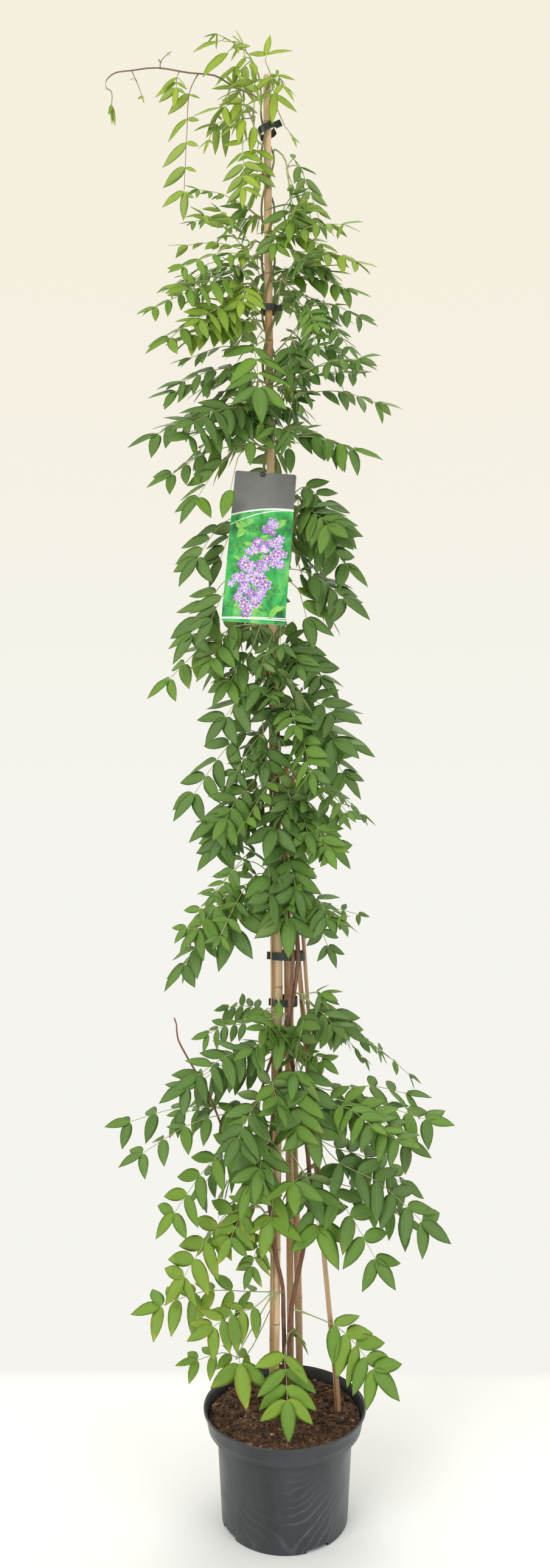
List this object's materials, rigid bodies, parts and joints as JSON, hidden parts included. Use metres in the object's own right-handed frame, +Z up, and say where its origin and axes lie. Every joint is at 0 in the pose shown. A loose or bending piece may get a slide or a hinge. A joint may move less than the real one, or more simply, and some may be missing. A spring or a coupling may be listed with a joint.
{
  "type": "wisteria in a pot",
  "caption": "Young wisteria in a black nursery pot, twining up tall bamboo canes with pinnate leaves, plastic clips and a plain label card.",
  "frame": {"origin": "centre of the pot's foot, on the ground", "axes": "+Z up along the canes, -Y to the side with the label, +X to the right of that side"},
  "size_m": [0.5822, 0.2751, 2.4593],
  "materials": {
    "pot_plastic": "smooth dark container plastic, slightly scuffed",
    "peat": "moist fibrous peat, lumpy and matt",
    "bamboo": "dry bamboo with a faint sheen",
    "bark": "rough reddish-brown bark",
    "green_stem": "smooth green stem",
    "clip_plastic": "black-green moulded plastic",
    "teal_tie": "teal plastic strip",
    "card": null,
    "leaf_dark": "blue-green leaves and their stalks, satin",
    "leaf_mid": "mid-green leaves and their stalks, satin",
    "leaf_lime": "young lime-green leaves and their stalks, satin",
    "leaf_yellowing": "yellowing leaves and their stalks, satin"
  },
  "bodies": {
    "root": {"bush_front_50": "leaf_mid", "bush_left_46": "leaf_yellowing", "bush_left_60": "leaf_dark", "bush_left_70": "leaf_dark", "bush_left_77": "leaf_mid", "bush_right_55": "leaf_dark", "bush_right_65": "leaf_mid", "bush_right_72": "leaf_mid", "bush_right_79": "leaf_mid", "cane_1": "bamboo", "cane_2": "bamboo", "cane_3": "bamboo", "cane_4": "bamboo", "cane_5": "bamboo", "clip_low": "clip_plastic", "clip_lower": "clip_plastic", "clip_top": "clip_plastic", "clip_upper": "clip_plastic", "crown": "leaf_lime", "front_102": "leaf_dark", "front_133": "leaf_dark", "front_189": "leaf_lime", "label": "card", "label_peg": "clip_plastic", "left_120": "leaf_dark", "left_141": "leaf_mid", "left_149": "leaf_dark", "left_160": "leaf_dark", "left_171": "leaf_mid", "left_178": "leaf_dark", "left_184": "leaf_dark", "left_194": "leaf_mid", "left_200": "leaf_lime", "left_204": "leaf_dark", "left_209": "leaf_lime", "left_215": "leaf_dark", "left_231": "leaf_lime", "left_98": "leaf_dark", "low_front": "leaf_lime", "low_left": "leaf_yellowing", "low_right": "leaf_dark", "pot": "pot_plastic", "right_115": "leaf_mid", "right_127": "leaf_dark", "right_138": "leaf_dark", "right_155": "leaf_dark", "right_175": "leaf_dark", "right_182": "leaf_dark", "right_192": "leaf_dark", "right_202": "leaf_dark", "right_209": "leaf_lime", "right_98": "leaf_dark", "shoot_arch": "leaf_mid", "shoot_right": "leaf_mid", "shoot_top": "leaf_lime", "soil": "peat", "tie": "teal_tie", "vine_green_1": "green_stem", "vine_green_2": "green_stem", "vine_wood": "bark"}
  },
  "joints": []
}
